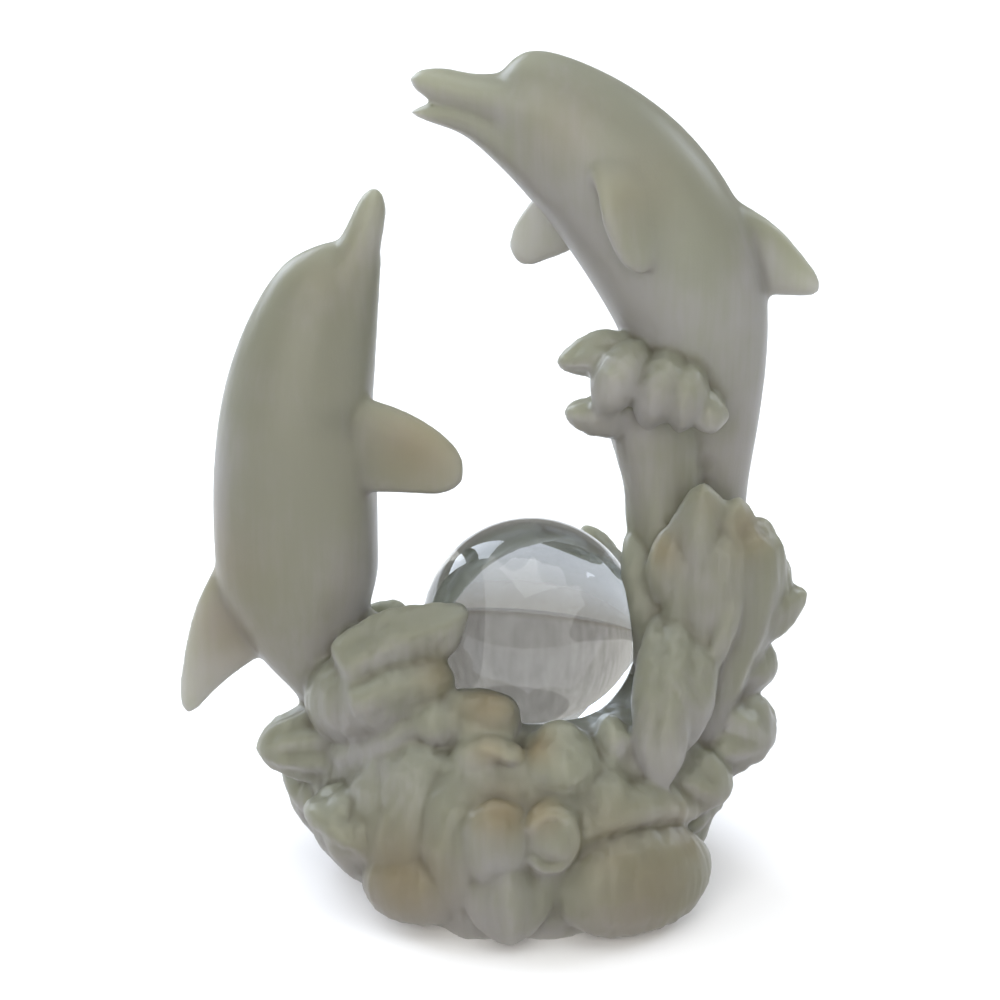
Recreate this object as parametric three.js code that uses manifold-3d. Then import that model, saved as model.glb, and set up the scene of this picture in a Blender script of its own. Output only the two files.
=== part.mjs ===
// Two dolphins leaping round a clear glass ball, above a base of breaking waves.
// The dolphins, the splash and the base are one casting in frosted acrylic.
// The ball is loose: it sits in a round seat between the waves.
// Millimetres, +Z up, the front of the piece towards -Y. The origin is the middle of the flat underside.
import * as THREE from "three";
import { mergeVertices } from "three/addons/utils/BufferGeometryUtils.js";
import Module from "manifold-3d";

const wasm = await Module();
wasm.setup();

// ---- Driving dimensions ----
const BALL_RADIUS = 25;
const BALL_CENTRE = [1.5, 0, 60.5];
const SEAT_GAP = 0.3; // between the ball and its seat
const BALL_DETAIL = 24; // segments round the ball
const FOOT_CUT = 30; // how far below the underside the trimming block reaches
const COLOUR = { acrylic: 0x91927f, glass: 0xdfe4e6 };

const radians = THREE.MathUtils.degToRad;

// ---- Solids ----

// A three.js geometry as a manifold-3d solid with its faces pointing out.
function solidOf(geometry) {
  const bare = geometry.clone();
  bare.deleteAttribute("normal");
  bare.deleteAttribute("uv");
  const merged = mergeVertices(bare, 1e-3);
  const triVerts = new Uint32Array(merged.index.array);
  const solid = new wasm.Manifold(
    new wasm.Mesh({
      numProp: 3,
      vertProperties: merged.attributes.position.array,
      triVerts,
    }),
  );
  if (solid.volume() > 0) return solid;
  triVerts.reverse();
  return new wasm.Manifold(
    new wasm.Mesh({
      numProp: 3,
      vertProperties: merged.attributes.position.array,
      triVerts,
    }),
  );
}

// A manifold-3d solid as a three.js geometry.
function geometryOf(solid) {
  const mesh = solid.getMesh();
  const geometry = new THREE.BufferGeometry();
  geometry.setAttribute(
    "position",
    new THREE.BufferAttribute(new Float32Array(mesh.vertProperties), 3),
  );
  geometry.setIndex(new THREE.BufferAttribute(mesh.triVerts, 1));
  geometry.computeVertexNormals();
  return geometry;
}

const join = (solids) => solids.reduce((whole, solid) => whole.add(solid));

// How much of the full section is left at u, where an end is rounded over `cap` of the length.
function endRounding(u, cap) {
  if (u >= cap) return 1;
  return Math.sqrt(Math.max(0, 1 - (1 - u / cap) ** 2));
}

// A flowing form swept along a spine, closed and rounded at both ends.
// spine: its points. sizes: at each point, the half sizes in the spine's plane and across it.
// normal: the direction across that plane. cap: the share of the length that each end is rounded over.
// flutes: how many grooves run along it, `groove` deep as a share of the section's size.
function sweep({
  spine,
  sizes,
  normal,
  cap = [0.12, 0.12],
  flutes = 0,
  groove = 0.12,
  around = 12,
  along = 9,
}) {
  const curve = (points) =>
    new THREE.CatmullRomCurve3(points, false, "catmullrom", 0.5);
  const line = curve(spine.map((point) => new THREE.Vector3(...point)));
  const size = curve(sizes.map(([half, side]) => new THREE.Vector3(half, side, 0)));
  const across = new THREE.Vector3(...normal).normalize();
  const geometry = new THREE.SphereGeometry(1, around, along);
  const place = geometry.attributes.position;
  for (let i = 0; i < place.count; i++) {
    const polar = Math.acos(THREE.MathUtils.clamp(place.getY(i), -1, 1));
    const u = (polar / Math.PI + (1 - Math.cos(polar)) / 2) / 2; // closer rings at the rounded ends
    const atPole = u === 0 || u === 1;
    const turn = Math.atan2(place.getZ(i), place.getX(i));
    const rounding = atPole ? 0 : endRounding(u, cap[0]) * endRounding(1 - u, cap[1]);
    const fluting = 1 - (groove * (1 - Math.cos(flutes * turn))) / 2;
    const tangent = line.getTangent(u);
    const outward = new THREE.Vector3().crossVectors(across, tangent).normalize();
    const side = new THREE.Vector3().crossVectors(tangent, outward);
    const half = size.getPoint(u);
    const point = line
      .getPoint(u)
      .addScaledVector(outward, half.x * rounding * fluting * Math.cos(turn))
      .addScaledVector(side, half.y * rounding * fluting * Math.sin(turn));
    place.setXYZ(i, point.x, point.y, point.z);
  }
  return solidOf(geometry);
}

// A form whose spine stands in one upright plane, through origin = [x, y] and along azimuth.
// rows: [r, z, half, side], with r measured along the azimuth.
function upright({ origin = [0, 0], azimuth = 0, rows, ...rest }) {
  const [cos, sin] = [Math.cos(radians(azimuth)), Math.sin(radians(azimuth))];
  return sweep({
    spine: rows.map(([r, z]) => [origin[0] + r * cos, origin[1] + r * sin, z]),
    sizes: rows.map(([, , half, side]) => [half, side]),
    normal: [sin, -cos, 0],
    ...rest,
  });
}

// A roll that lies along the mound's wall.
// rows: [azimuth, r, z, half, side], with half measured outwards and side upwards.
function roll({ rows, ...rest }) {
  return sweep({
    spine: rows.map(([azimuth, r, z]) => [
      r * Math.cos(radians(azimuth)),
      r * Math.sin(radians(azimuth)),
      z,
    ]),
    sizes: rows.map(([, , , half, side]) => [half, side]),
    normal: [0, 0, 1],
    ...rest,
  });
}

// ---- The dolphins ----

// A fin: a thin form from its root inside the body to its tip.
const fin = (options) =>
  upright({ around: 8, along: 7, cap: [0.1, 0.16], ...options });

const beak = (options) =>
  upright({ around: 8, along: 7, cap: [0.1, 0.18], ...options });

// The dolphin on the left, standing on its tail with its back to the left.
function risingDolphin() {
  const plane = [0, 3];
  return [
    upright({
      origin: plane,
      rows: [
        [-41.2, 150.6, 4.5, 4.2],
        [-44.2, 140.5, 11, 8],
        [-48.2, 127, 14.7, 12],
        [-50.8, 113, 17, 14.5],
        [-51.7, 98.5, 18.4, 15.6],
        [-52, 83, 18.7, 15.8],
        [-51.6, 69.5, 18, 14.6],
        [-49.2, 56, 12.6, 11],
        [-45.6, 44, 7, 8],
        [-41, 30, 6, 7],
      ],
      cap: [0.09, 0.04],
      around: 14,
      along: 16,
    }),
    beak({
      origin: plane,
      rows: [
        [-45, 122, 11, 12],
        [-41.4, 134, 8, 8.8],
        [-38, 145, 5.6, 6],
        [-34.8, 154, 4.1, 4.3],
        [-32.4, 163, 3.1, 3.2],
      ],
    }),
    fin({
      origin: plane,
      rows: [
        [-55.5, 72, 15, 9],
        [-67, 59.4, 10.4, 4],
        [-75, 46.5, 5.2, 2.2],
        [-78.8, 36.8, 2, 1.3],
      ],
    }),
    fin({
      origin: [0, -9],
      azimuth: -8,
      rows: [
        [-46, 107, 11, 4.5],
        [-34, 105.4, 11, 3.6],
        [-24, 103, 9, 2.8],
        [-13.6, 98.2, 4.9, 1.8],
      ],
    }),
    fin({
      origin: [-44, 12],
      azimuth: 62,
      rows: [
        [-4, 108, 3.6, 9],
        [8, 104, 3, 8.6],
        [17, 97, 2.3, 6.6],
        [24, 88, 1.5, 3],
      ],
    }),
  ];
}

// The dolphin on the right, arching over the ball with its mouth open.
function archingDolphin() {
  const plane = [0, 9];
  return [
    upright({
      origin: plane,
      rows: [
        [-8.4, 181.6, 6.4, 4.6],
        [-4, 180, 12.2, 7.4],
        [4, 176.6, 14.6, 10.4],
        [13.8, 169.5, 16.8, 13.4],
        [22.8, 160.3, 18.3, 15.6],
        [30.7, 148.8, 18.5, 16],
        [36.6, 135.5, 17.4, 14.8],
        [39.6, 120.3, 15, 12.6],
        [42.2, 105, 10.9, 9.8],
        [44.2, 90.5, 6.8, 7.6],
        [44.6, 76, 6, 7],
        [43.6, 60, 6.6, 7.6],
      ],
      cap: [0.08, 0.04],
      around: 14,
      along: 18,
    }),
    beak({
      origin: plane,
      rows: [
        [8, 177, 10, 11.5],
        [0, 179.5, 7.6, 9.2],
        [-7, 181, 5.4, 7],
        [-12.5, 182.2, 4.3, 5.4],
        [-18, 183.7, 4, 4.4],
        [-25.6, 185.4, 3.2, 3.4],
      ],
    }),
    beak({
      origin: plane,
      rows: [
        [12, 161, 10, 12],
        [4, 167.6, 8.4, 10],
        [-4.5, 172.6, 5.8, 7.6],
        [-11.5, 176, 3.9, 5.4],
        [-18, 177.4, 2.6, 4],
        [-26, 178, 1.4, 2.4],
      ],
    }),
    fin({
      origin: plane,
      rows: [
        [37, 148.4, 14, 9],
        [50, 145.4, 9.8, 4],
        [59.6, 141, 5.4, 2.2],
        [66, 137, 2, 1.3],
      ],
    }),
    fin({
      origin: [21.5, -2.8],
      azimuth: -62,
      rows: [
        [-5, 170, 3.2, 7.6],
        [2, 165, 2.8, 8.8],
        [4.6, 156, 2.2, 8],
        [7, 145.6, 1.6, 3.6],
      ],
    }),
    fin({
      origin: [14, 17],
      azimuth: 170,
      rows: [
        [-2, 158.5, 8, 4],
        [6, 152, 8, 3],
        [12.4, 146, 6, 2.2],
        [15.4, 140.4, 2.8, 1.5],
      ],
    }),
  ];
}

// ---- The base ----

// The solid heart of the base: a bowl that flares from its foot, then slopes in to the ball's seat.
// Its back is low, so that light reaches the ball from behind.
// profile: [height, middle x, middle y, half width, half depth].
function mound() {
  const profile = [
    [-4, -2, -1, 35, 35],
    [4, -3, -1, 39, 39.5],
    [14, -5, -1, 42, 42.5],
    [24, -5, -2, 45, 41.5],
    [33, -3, -4, 45, 37],
    [41, -1, -6, 42, 29],
    [45, 0, -7, 34, 18],
  ];
  const slices = profile.length - 1;
  const geometry = new THREE.CylinderGeometry(1, 1, 1, 22, slices);
  const place = geometry.attributes.position;
  for (let i = 0; i < place.count; i++) {
    const slice = Math.round((place.getY(i) + 0.5) * slices);
    const [height, x, y, halfWidth, halfDepth] = profile[slice];
    place.setXYZ(i, x + place.getX(i) * halfWidth, y - place.getZ(i) * halfDepth, height);
  }
  return [solidOf(geometry)];
}

// A drop of water: a rounded form from a slim start inside the wave to its full, round tip.
// half: its thickness in the plane of its bend. side: across that plane. bend: how its middle is pushed out.
function drop(start, tip, [half, side], bend = [0, 0, 1]) {
  const from = new THREE.Vector3(...start);
  const to = new THREE.Vector3(...tip);
  const push = new THREE.Vector3(...bend);
  const middle = from.clone().lerp(to, 0.5).add(push);
  return sweep({
    spine: [from, middle, to].map((point) => point.toArray()),
    sizes: [
      [half * 0.8, side * 0.7],
      [half * 1.05, side],
      [half * 0.75, side * 0.8],
    ],
    normal: push.cross(to.clone().sub(from)).toArray(),
    cap: [0.3, 0.42],
    around: 7,
    along: 5,
  });
}

// A scallop on the base's wall: a fluted lobe under a rolled lip.
// spread: half its angle round the base. foot, top: heights. reach: how far out its lip stands.
function scallop([azimuth, spread, foot, top, reach]) {
  const width = reach * Math.sin(radians(spread));
  const lip = 3 + width / 8;
  const sag = width / 3;
  return [
    upright({
      azimuth,
      rows: [
        [reach - 22, foot - 5, 7, width * 0.6],
        [reach - 12.5, foot + (top - foot) * 0.3, 9, width * 0.9],
        [reach - 8, foot + (top - foot) * 0.66, 8, width],
        [reach - 12, top, 8, width * 0.7],
      ],
      cap: [0.2, 0.3],
      flutes: 4,
      groove: 0.16,
      around: 8,
      along: 5,
    }),
    roll({
      rows: [-1, -0.5, 0, 0.5, 1].map((share) => [
        azimuth + share * spread,
        reach - lip + 1.5 - Math.abs(share) * 2,
        top - lip - sag * share ** 2,
        lip * (1 - share ** 2 / 3),
        lip * 0.85 * (1 - share ** 2 / 3),
      ]),
      cap: [0.3, 0.3],
      around: 6,
      along: 5,
    }),
  ];
}

// The ring of scallops round the sides and the back.
function scallops() {
  return [
    [-152, 13, 10, 29, 54],
    [174, 15, 7, 27, 56],
    [141, 18, 2, 27, 47],
    [103, 19, 4, 29, 45],
    [64, 19, 1, 27, 46],
    [24, 20, 3, 30, 43],
    [-12, 16, 6, 26, 46],
  ].flatMap(scallop);
}

// A broad shell at the foot of the front: a smooth pillow under a rolled lip.
// top: the height of the crease under its lip. thick, lip: half the thickness of each.
// flare: how much farther out its right end stands than its middle.
function shell([azimuth, spread, foot, top, reach, thick, lip, flare]) {
  const inner = reach - thick;
  const height = (top - foot) / 2;
  const shares = [-1, -0.5, 0, 0.5, 1];
  return [
    roll({
      rows: shares.map((share) => [
        azimuth + share * spread,
        inner + flare * share,
        foot + height - share ** 2,
        thick * (1 - share ** 2 / 4),
        height * (1 - 0.4 * share ** 2),
      ]),
      cap: [0.3, 0.3],
      around: 8,
      along: 7,
    }),
    roll({
      rows: shares.map((share) => [
        azimuth + share * spread,
        inner - 2.5 + flare * share,
        top + lip * (0.8 - 1.5 * share ** 2),
        lip,
        lip * (1 - share ** 2 / 4),
      ]),
      cap: [0.3, 0.3],
      around: 7,
      along: 6,
    }),
  ];
}

// The two shells: a great one at the right and a small one at the left.
function shells() {
  return [
    [-54, 28, 0, 26.5, 51.5, 9.5, 5.6, 3.8],
    [-127, 17, 2, 21.5, 48, 6.5, 4.4, -3],
  ].flatMap(shell);
}

// The falling water at the front: low lobes at the foot, a column and a round curl.
function front() {
  return [
    drop([-4, -31, 27], [-3.6, -42.2, 1], [7, 11], [0, -2, 1]),
    drop([-24, -26, 20], [-22, -35.5, 2], [6, 8], [0, -1, 1]),
    drop([20, -26, 20], [20, -34.5, 2], [6, 8], [0, -1, 1]),
    drop([-6, -32, 7], [-6.6, -39.6, 36], [5.2, 8.8], [0, -3, 0]),
    drop([5, -33, 33], [6, -43, 27], [7, 7], [0, -1, 2]),
  ];
}

// The crests along the rim in front of the ball, and the cascade at their right.
function rim() {
  return [
    drop([-19, -19, 46], [-1, -24.5, 46.4], [7, 8], [0, -1, 1]),
    drop([-10, -22, 42], [-8, -33.6, 38.4], [5.4, 7.6], [0, -1, 1]),
    drop([-25, -17, 50], [-16, -26, 43], [6, 6], [0, -1, 1]),
    drop([5, -20, 42], [11, -37.6, 38], [6.8, 8.8], [0, -1, 1]),
    drop([20, -17, 42], [22.6, -29.5, 39], [6, 8], [0, -1, 2]),
    // The cascade: strands of water that meet in a point.
    drop([31, -9, 68], [29, -30.6, 34], [5, 6.5], [-1, -4, 0]),
    drop([38, -7, 69], [32.6, -28, 37], [5.4, 7], [0, -5, 0]),
  ];
}

// The smooth faces of water that fall from the left crest to the foot.
function leftFaces() {
  return [
    upright({
      azimuth: -137,
      rows: [
        [34, 6, 8, 9],
        [39.5, 18, 8, 12],
        [37, 32, 7.5, 11],
        [30, 43, 6, 8],
      ],
      around: 9,
      along: 6,
    }),
    drop([-46, 0, 40], [-22, -18, 52], [11, 11], [-2, -4, 3]),
    drop([-38, -4, 62], [-27, -17, 45], [9, 10], [-1, -4, 0]),
  ];
}

// The shell-like crest that points out to the left.
function leftHorn() {
  return upright({
    origin: [0, -4],
    rows: [
      [-30, 32, 14, 12],
      [-43, 33.5, 11.5, 11],
      [-52.5, 32.5, 9, 8.6],
      [-62, 31, 5.4, 5.6],
    ],
    cap: [0.1, 0.24],
    flutes: 5,
    groove: 0.16,
    around: 10,
    along: 6,
  });
}

// The crest that leans over the ball's left side, in two leaves, and the foam behind it.
function leftCrest() {
  return [
    upright({
      origin: [0, -15],
      azimuth: 4,
      rows: [
        [-41, 56, 8, 7],
        [-32, 61.5, 9, 7.4],
        [-23, 65, 8.6, 6.8],
        [-11, 71, 3.4, 3.4],
      ],
      cap: [0.1, 0.2],
      around: 9,
      along: 7,
    }),
    upright({
      origin: [0, -18],
      azimuth: 4,
      rows: [
        [-40, 50, 8, 7],
        [-30, 54, 8.6, 8],
        [-22, 55.4, 8, 7],
        [-15.5, 56, 5, 4],
      ],
      cap: [0.1, 0.2],
      around: 9,
      along: 7,
    }),
    drop([-36, 14, 42], [-29, 11, 62], [8, 7], [-1, 0, 1]),
    drop([-40, 8, 50], [-31, -4, 61], [7, 6], [-1, 0, 2]),
  ];
}

// The rounded breakers stacked at the right of the base.
function rightBreakers() {
  return [
    drop([28, -10, 26], [46, -21, 27], [9.4, 9.5], [1, -1, 3]),
    drop([32, 1, 32], [57, -11, 36], [11, 12], [3, -1, 3]),
    drop([34, 3, 47], [57.4, -6, 52], [10, 10.4], [2, 0, 3]),
  ];
}

// The tall wave at the right of the ball.
function rightWave() {
  return [
    upright({
      origin: [0, -7],
      rows: [
        [34, 34, 12, 11],
        [38, 50, 13, 11],
        [42, 64, 14.5, 10.5],
        [44.5, 77, 15, 9.5],
        [45, 90, 12, 7],
      ],
      around: 10,
      along: 7,
      cap: [0.08, 0.14],
    }),
    // The leaves of its crest, from the ball outwards, and its pointed tip.
    drop([35, -4, 64], [32.5, -8, 88.5], [4.6, 5.6], [-1, -3, 0]),
    drop([38, -4, 66], [39.6, -7, 98], [6, 8], [0, -3, 0]),
    drop([43, -3, 66], [47.4, -6.5, 94.5], [6, 7.6], [0, -3, 0]),
    drop([46, -2, 66], [53.4, -5, 89.5], [5.6, 7], [1, -3, 0]),
    drop([46, -2, 62], [58, -4, 80], [5.4, 6.6], [2, -2, 0]),
    drop([38, -5, 56], [64.4, -4, 71], [7, 7.4], [2, -1, 2]),
    drop([24.5, 1, 84], [30, -7, 46], [5, 6], [1, -3, 0]),
    // The swell behind it, which wraps the dolphin's tail and the foot of the splash.
    drop([40, 14.6, 32], [45, 13.4, 83], [8.8, 10.6], [1, 3, 0]),
    drop([36.5, 13, 35], [34.6, 9.6, 73], [6.6, 7.4], [0, 2, 0]),
  ];
}

// The column of water that climbs the arching dolphin's belly, ending in a fist of foam.
function splash() {
  return [
    upright({
      origin: [0, 3],
      rows: [
        [35, 62, 8, 10],
        [33, 80, 9.4, 9],
        [31, 96, 9.4, 8],
        [28.5, 110, 10.5, 8.5],
        [25, 120, 8, 8],
      ],
      cap: [0.08, 0.14],
      around: 10,
      along: 7,
    }),
    drop([29, 1, 121], [6.5, -2, 124], [6, 6.6], [0, 0, 3]),
    drop([27, 0, 113], [8.5, -1, 112.5], [5.6, 6], [0, 0, -1]),
    drop([27, 2, 127], [17, -5, 112], [4.6, 6.8], [-2, -6, 4]),
    drop([33, 2, 126], [26, -7, 110], [4.6, 6.6], [0, -6, 3]),
    drop([37, 1, 123], [33.5, -7.5, 109.5], [4.6, 5.6], [0, -5, 3]),
    drop([40, 1, 116], [40.5, -5.5, 109.5], [4.6, 5.2], [0, -4, 1]),
    drop([36, 13, 48], [14, 25, 76], [8, 8], [-3, 3, -3]),
  ];
}

// A breaker on the back: a fluted wall that rises from its foot to a crest that rolls outwards.
function breaker([azimuth, foot, crest, top, width]) {
  return upright({
    azimuth,
    rows: [
      [foot, 4, 7, width * 0.9],
      [foot * 0.5 + crest * 0.5, top * 0.45, 8, width],
      [crest, top * 0.8, 8, width],
      [crest + 5, top - 3, 6, width * 0.8],
      [crest + 10, top - 9, 4, width * 0.6],
    ],
    flutes: 5,
    groove: 0.16,
    around: 10,
    along: 6,
  });
}

// The wall of water behind the ball: low behind the ball, highest by the arching dolphin's tail.
function backBreakers() {
  return [
    [154, 40, 35, 52, 15],
    [124, 37, 27, 38, 17],
    [92, 36, 25, 35, 18],
    [60, 36, 28, 47, 17],
    [30, 36, 36, 61, 15],
  ].map(breaker);
}

// ---- The pieces ----

const ballSolid = (gap, detail) => {
  const geometry = new THREE.SphereGeometry(BALL_RADIUS + gap, detail, detail / 2);
  geometry.translate(...BALL_CENTRE);
  return solidOf(geometry);
};

function casting() {
  const whole = join([
    ...mound(),
    ...risingDolphin(),
    ...archingDolphin(),
    ...scallops(),
    ...shells(),
    ...front(),
    ...rim(),
    ...leftFaces(),
    leftHorn(),
    ...leftCrest(),
    ...rightBreakers(),
    ...rightWave(),
    ...splash(),
    ...backBreakers(),
  ]);
  const below = new THREE.BoxGeometry(300, 300, FOOT_CUT);
  below.translate(0, 0, -FOOT_CUT / 2);
  return whole.subtract(ballSolid(SEAT_GAP, BALL_DETAIL)).subtract(solidOf(below));
}

function piece(name, solid, colour, roughness) {
  const material = new THREE.MeshStandardMaterial({
    color: colour,
    roughness,
    metalness: 0,
  });
  const mesh = new THREE.Mesh(geometryOf(solid), material);
  mesh.name = name;
  return mesh;
}

const group = new THREE.Group();
group.add(piece("dolphins_and_waves", casting(), COLOUR.acrylic, 0.5));
group.add(piece("glass_ball", ballSolid(0, BALL_DETAIL), COLOUR.glass, 0.03));

export default group;
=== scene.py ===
"""Two dolphins leaping round a clear glass ball above breaking waves.

The dolphins, the splash and the base are one casting in frosted acrylic. The ball is polished glass
and rests loose in a round seat between the waves. Sizes are in millimetres, in the frame's own axes:
+Z up and the front towards -Y. MM turns them into the frame's metres.
"""

import logging
import math
from dataclasses import dataclass, field
from enum import Enum

import bpy
import numpy as np
from mathutils import Matrix, Vector
from mathutils.kdtree import KDTree


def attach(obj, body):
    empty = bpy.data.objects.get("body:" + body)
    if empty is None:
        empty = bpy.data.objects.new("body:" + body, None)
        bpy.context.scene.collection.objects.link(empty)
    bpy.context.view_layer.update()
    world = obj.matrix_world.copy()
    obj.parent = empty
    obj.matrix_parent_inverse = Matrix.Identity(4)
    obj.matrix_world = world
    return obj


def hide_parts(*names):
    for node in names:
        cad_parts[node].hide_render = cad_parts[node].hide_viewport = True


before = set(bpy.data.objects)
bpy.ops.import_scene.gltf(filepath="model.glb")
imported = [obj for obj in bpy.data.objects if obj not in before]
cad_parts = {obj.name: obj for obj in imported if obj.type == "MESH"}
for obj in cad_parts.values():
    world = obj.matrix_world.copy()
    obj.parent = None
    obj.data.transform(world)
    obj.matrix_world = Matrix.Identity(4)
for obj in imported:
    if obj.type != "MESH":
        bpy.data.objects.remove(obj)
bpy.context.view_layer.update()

MM = 0.001
BODY = "root"
log = logging.getLogger("dolphin_sculpture")

Row = tuple[float, float, float, float]  # along, up, half size in the plane, half size across it
Point = tuple[float, float, float]


# ---- Modelling helpers ----


def select_only(*objects: bpy.types.Object) -> None:
    """Selects these objects and nothing else, and makes the first one active.

    Args:
        objects: The objects to select.
    """
    bpy.ops.object.select_all(action="DESELECT")
    for item in objects:
        item.select_set(True)
    bpy.context.view_layer.objects.active = objects[0]


def apply_modifier(target: bpy.types.Object, kind: str, **settings: object) -> None:
    """Adds one modifier to an object and applies it.

    Args:
        target: The object that is changed.
        kind: Blender's name for the modifier type.
        settings: The modifier's own settings.
    """
    select_only(target)
    bpy.ops.object.modifier_add(type=kind)
    modifier = target.modifiers[-1]
    for name, value in settings.items():
        setattr(modifier, name, value)
    bpy.ops.object.modifier_apply(modifier=modifier.name)


def through(points: list[tuple[float, ...]], shares: np.ndarray) -> np.ndarray:
    """Finds points on the smooth curve that passes through the given ones.

    Args:
        points: The points that the curve passes through.
        shares: Where along the curve, from 0 at its start to 1 at its end.

    Returns:
        One row for each share.
    """
    given = np.asarray(points, float)
    padded = np.vstack([2 * given[0] - given[1], given, 2 * given[-1] - given[-2]])
    position = shares * (len(given) - 1)
    span = np.minimum(position.astype(int), len(given) - 2)
    t = (position - span)[:, None]
    before, start, end, after = (padded[span + step] for step in range(4))
    return 0.5 * (
        2 * start
        + (end - before) * t
        + (2 * before - 5 * start + 4 * end - after) * t**2
        + (3 * start - before - 3 * end + after) * t**3
    )


def upright_plane(x: float, y: float, azimuth: float) -> Matrix:
    """The placement of a form whose spine stands in one upright plane.

    Args:
        x: Where the plane's own zero lies, across the piece.
        y: The same, from front to back.
        azimuth: Which way the plane runs, in degrees from +X towards +Y.

    Returns:
        The matrix that turns X along, Y up and Z across into the frame.
    """
    angle = math.radians(azimuth)
    turn = Matrix.Rotation(angle, 4, "Z") @ Matrix.Rotation(math.pi / 2, 4, "X")
    return Matrix.Translation(Vector((x, y, 0)) * MM) @ turn


class Skin(Enum):
    """How the skin of a form is carved."""

    ANIMAL = "animal"
    WATER = "water"


@dataclass
class Form:
    """A flowing form along a spine that lies in one plane, closed and rounded at both ends.

    Attributes:
        rows: The spine's points, each with the form's two half sizes there.
        place: Turns the form's plane (X along, Y up, Z across) into the frame.
        cap: The share of the length that each end is rounded over.
        flutes: How many grooves run along it.
        groove: How deep they are, as a share of the section.
        sides: How many points its section has.
        rings: How many sections it has.
        lifts: How far each row is lifted across the plane.
        skin: How its skin is carved.
    """

    rows: list[Row]
    place: Matrix = field(default_factory=Matrix)
    cap: tuple[float, float] = (0.12, 0.12)
    flutes: int = 0
    groove: float = 0.14
    sides: int = 20
    rings: int = 14
    lifts: tuple[float, ...] = ()
    skin: Skin = Skin.WATER

    def stations(self) -> tuple[np.ndarray, np.ndarray, np.ndarray]:
        """Works out the form's sections, closer together at its rounded ends.

        Returns:
            The spine's points, the half sizes and the lifts, one row for each section, in metres.
        """
        even = np.linspace(0.004, 0.996, self.rings)
        shares = (even + (1 - np.cos(even * math.pi)) / 2) / 2
        spine = through([row[:2] for row in self.rows], shares)
        sizes = through([row[2:] for row in self.rows], shares)
        start = np.clip(shares / self.cap[0], 0, 1)
        end = np.clip((1 - shares) / self.cap[1], 0, 1)
        rounding = np.sqrt((1 - (1 - start) ** 2) * (1 - (1 - end) ** 2))
        lifts = through([(lift,) for lift in self.lifts or [0] * len(self.rows)], shares)
        return spine * MM, sizes * rounding[:, None] * MM, lifts[:, 0] * MM

    def section(self, size: np.ndarray) -> None:
        """Adds the first section, a filled and fluted ring, and leaves it in edit mode.

        Args:
            size: Its half size in the plane and across it.
        """
        sides = self.flutes * 4 or self.sides
        bpy.ops.mesh.primitive_circle_add(
            vertices=sides, radius=1, fill_type="NGON", rotation=(0, math.pi / 2, 0)
        )
        bpy.ops.object.transform_apply(rotation=True)
        ring = bpy.context.object
        for index, vertex in enumerate(ring.data.vertices):
            depth = (1 - math.cos(index * math.pi / 2)) / 2 if self.flutes else 0
            vertex.co *= 1 - self.groove * depth
        bpy.ops.object.mode_set(mode="EDIT")
        bpy.ops.mesh.select_all(action="SELECT")
        bpy.ops.transform.resize(value=(1, *size), center_override=(0, 0, 0))

    def build(self) -> bpy.types.Object:
        """Extrudes the sections in a straight line, then bends the form along its spine.

        Returns:
            The closed form, in its place in the frame.
        """
        spine, sizes, lifts = self.stations()
        steps = np.linalg.norm(np.diff(spine, axis=0), axis=1)
        self.section(sizes[0])
        bpy.ops.transform.translate(value=(0, 0, lifts[0]))
        distance = 0.0
        for index, step in enumerate(steps):
            distance += step
            rise = lifts[index + 1] - lifts[index]
            bpy.ops.mesh.extrude_region_move(
                TRANSFORM_OT_translate={"value": (step, 0, rise)}
            )
            bpy.ops.transform.resize(
                value=(1, *(sizes[index + 1] / sizes[index])),
                center_override=(distance, 0, lifts[index + 1]),
            )
        bpy.ops.mesh.select_all(action="SELECT")
        bpy.ops.mesh.normals_make_consistent(inside=False)
        bpy.ops.object.mode_set(mode="OBJECT")
        form = bpy.context.object
        self.bend(form, spine)
        form.matrix_world = self.place
        select_only(form)
        bpy.ops.object.transform_apply()
        form["skin"] = self.skin.value
        return form

    def bend(self, form: bpy.types.Object, spine: np.ndarray) -> None:
        """Bends a straight form along its spine.

        Args:
            form: The form, straight along X.
            spine: The points that it is bent through.
        """
        data = bpy.data.curves.new("spine", "CURVE")
        data.dimensions = "2D"
        line = data.splines.new("POLY")
        line.points.add(len(spine) - 1)
        flat = np.column_stack([spine, np.zeros(len(spine)), np.ones(len(spine))])
        line.points.foreach_set("co", flat.ravel())
        guide = bpy.data.objects.new("spine", data)
        bpy.context.scene.collection.objects.link(guide)
        apply_modifier(form, "CURVE", object=guide, deform_axis="POS_X")
        bpy.data.objects.remove(guide)


def drop(
    start: Point,
    tip: Point,
    size: tuple[float, float],
    bend: Point = (0, 0, 1),
    flutes: int = 0,
    end: float = 0.42,
) -> Form:
    """A drop of water, from a slim start inside the wave to its full, round tip.

    Args:
        start: Where it starts.
        tip: Where it ends.
        size: Its half size in the plane of its bend and across that plane.
        bend: How far its middle is pushed out.
        flutes: How many grooves run along it.
        end: The share of its length that its tip is rounded over.

    Returns:
        The drop's form.
    """
    half, side = size
    chord = Vector(tip) - Vector(start)
    along = chord.normalized()
    push = Vector(bend)
    out = push - along * push.dot(along)
    up = out.normalized()
    axes = Matrix((along, up, along.cross(up))).transposed().to_4x4()
    return Form(
        rows=[
            (0, 0, half * 0.8, side * 0.7),
            (chord.length / 2 + push.dot(along), out.length, half * 1.05, side),
            (chord.length, 0, half * 0.75, side * 0.8),
        ],
        place=Matrix.Translation(Vector(start) * MM) @ axes,
        cap=(0.3, end),
        flutes=flutes,
        groove=0.2,
        sides=20,
        rings=14,
    )


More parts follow.
